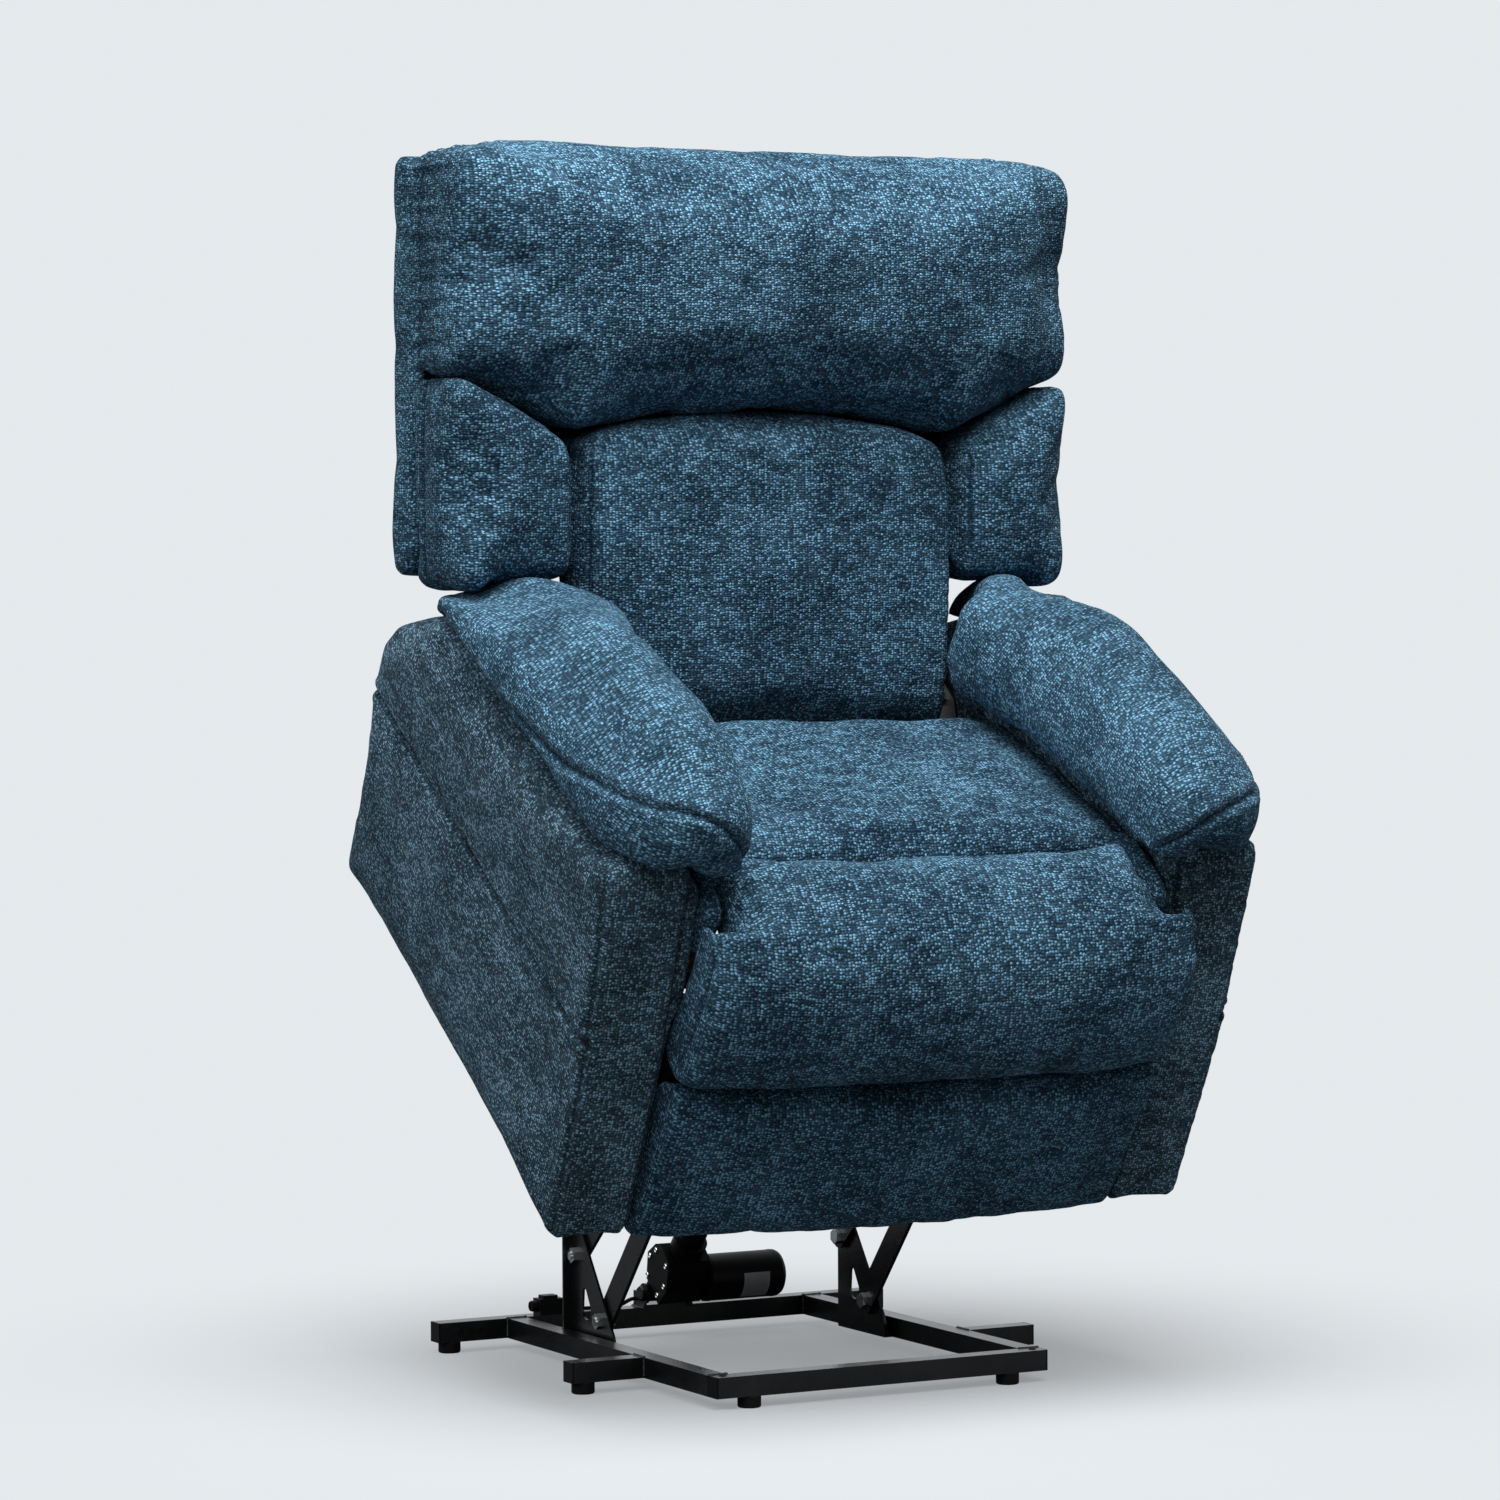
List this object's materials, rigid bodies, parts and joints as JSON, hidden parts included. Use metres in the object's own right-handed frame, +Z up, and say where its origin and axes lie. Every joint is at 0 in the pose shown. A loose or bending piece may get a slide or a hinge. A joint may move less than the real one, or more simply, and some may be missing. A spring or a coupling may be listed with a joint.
{
  "type": "lift recliner chair",
  "caption": "Upholstered power lift recliner with scooped arm pads and a high winged back, raised on a linkage over an open tubular steel base.",
  "frame": {"origin": "floor level, midway across the width and depth of the lifted chair", "axes": "+Z up, the chair faces -Y, +X towards the right-hand arm as seen by someone facing the chair"},
  "size_m": [0.894, 0.8425, 1.4967],
  "materials": {
    "upholstery": "matte woven chenille",
    "black_steel": "satin black powder coat",
    "zinc": "bright zinc plate",
    "black_plastic": "moulded, satin",
    "foot_rubber": "matte",
    "timber": "raw board"
  },
  "bodies": {
    "base": {"front_cross_tube": "black_steel", "rear_cross_tube": "black_steel", "side_rail_left": "black_steel", "side_rail_right": "black_steel", "outrigger_left": "black_steel", "outrigger_right": "black_steel", "tube_end_caps": "black_plastic", "rubber_feet": "foot_rubber", "lift_upright_left": "black_steel", "lift_upright_right": "black_steel", "base_pivot_bolts": "zinc", "actuator_clevis": "black_steel", "power_connector": "black_plastic", "motor_lead": "black_plastic"},
    "lower_links": {"lower_link_left": "black_steel", "lower_link_right": "black_steel", "link_torque_tube": "black_steel"},
    "upper_links": {"upper_link_left": "black_steel", "upper_link_right": "black_steel"},
    "lift_drive": {"lift_motor": "black_plastic", "lift_gearbox": "black_plastic", "guide_tube": "black_plastic"},
    "lift_rod": {"actuator_rod": "zinc"},
    "seat_unit": {"lift_bracket_left": "black_steel", "lift_bracket_right": "black_steel", "seat_cross_tubes": "black_steel", "actuator_cross_tube": "black_steel", "seat_pivot_bolts": "zinc", "mechanism_plate_left": "black_steel", "mechanism_plate_right": "black_steel", "seat_side_rails": "timber", "seat_cross_rails": "timber", "seat_springs": "zinc", "seat_cushion": "upholstery", "arm_panel_left": "upholstery", "arm_panel_right": "upholstery", "arm_pad_left": "upholstery", "arm_pad_right": "upholstery", "mechanism_pins": "zinc"},
    "backrest": {"back_posts": "black_steel", "back_rails": "timber", "recline_bracket_left": "black_steel", "recline_bracket_right": "black_steel", "rear_cover": "upholstery", "lower_back_panel": "upholstery", "lumbar_cushion": "upholstery", "wing_cushion_left": "upholstery", "wing_cushion_right": "upholstery", "head_pillow": "upholstery"},
    "drive_links": {"footrest_drive_links": "black_steel"},
    "outer_links": {"footrest_outer_links": "black_steel"},
    "footrest": {"footrest_board": "timber", "footrest_brackets": "black_steel", "upper_leg_pad": "upholstery", "lower_leg_pad": "upholstery"},
    "guide_links": {"footrest_guide_links": "black_steel"},
    "tip_links": {"footrest_tip_links": "black_steel"}
  },
  "joints": [
    {"name": "lift", "type": "hinge", "parent": "base", "child": "lower_links", "pos_m": [0, 0.181, 0.057], "axis": [1, 0, 0], "range_deg": [0, 47.12]},
    {"name": "seat_tilt", "type": "hinge", "parent": "lower_links", "child": "seat_unit", "pos_m": [0, -0.03061, 0.30645], "axis": [1, 0, 0], "range_deg": [-81.7, 0]},
    {"name": "upper_link_turn", "type": "hinge", "parent": "base", "child": "upper_links", "pos_m": [0, 0.249, 0.131], "axis": [1, 0, 0], "range_deg": [0, 44.3]},
    {"name": "actuator_swing", "type": "hinge", "parent": "base", "child": "lift_drive", "pos_m": [0, 0.372, 0.058], "axis": [1, 0, 0], "range_deg": [0, 41.8]},
    {"name": "rod_travel", "type": "slide", "parent": "lift_drive", "child": "lift_rod", "axis": [0, -0.6608, 0.7505], "range_m": [-0.0845, 0]},
    {"name": "recline", "type": "hinge", "parent": "seat_unit", "child": "backrest", "pos_m": [0, 0.16271, 0.81789], "axis": [1, 0, 0], "range_deg": [-35, 0]},
    {"name": "footrest_drive", "type": "hinge", "parent": "seat_unit", "child": "drive_links", "pos_m": [0, -0.19682, 0.54653], "axis": [1, 0, 0], "range_deg": [-97.6, 0]},
    {"name": "outer_link_turn", "type": "hinge", "parent": "drive_links", "child": "outer_links", "pos_m": [0, 0.02185, 0.46141], "axis": [1, 0, 0], "range_deg": [0, 82.3]},
    {"name": "footrest_turn", "type": "hinge", "parent": "outer_links", "child": "footrest", "pos_m": [0, -0.18861, 0.35803], "axis": [1, 0, 0], "range_deg": [-68.7, 0]},
    {"name": "guide_link_turn", "type": "hinge", "parent": "seat_unit", "child": "guide_links", "pos_m": [0, -0.15564, 0.56076], "axis": [1, 0, 0], "range_deg": [-97.5, 0]},
    {"name": "tip_link_turn", "type": "hinge", "parent": "drive_links", "child": "tip_links", "pos_m": [0, -0.01363, 0.5125], "axis": [1, 0, 0], "range_deg": [0, 84.5]}
  ],
  "couplings": [
    {"joint": "seat_tilt", "follows": "lift", "ratio": -1.7321},
    {"joint": "upper_link_turn", "follows": "lift", "ratio": 0.93802},
    {"joint": "actuator_swing", "follows": "lift", "ratio": 0.8846},
    {"joint": "rod_travel", "follows": "lift", "m_per_rad": -0.10157},
    {"joint": "outer_link_turn", "follows": "footrest_drive", "ratio": -0.84221},
    {"joint": "footrest_turn", "follows": "footrest_drive", "ratio": 0.70287},
    {"joint": "guide_link_turn", "follows": "footrest_drive", "ratio": 0.99819},
    {"joint": "tip_link_turn", "follows": "footrest_drive", "ratio": -0.86424}
  ]
}
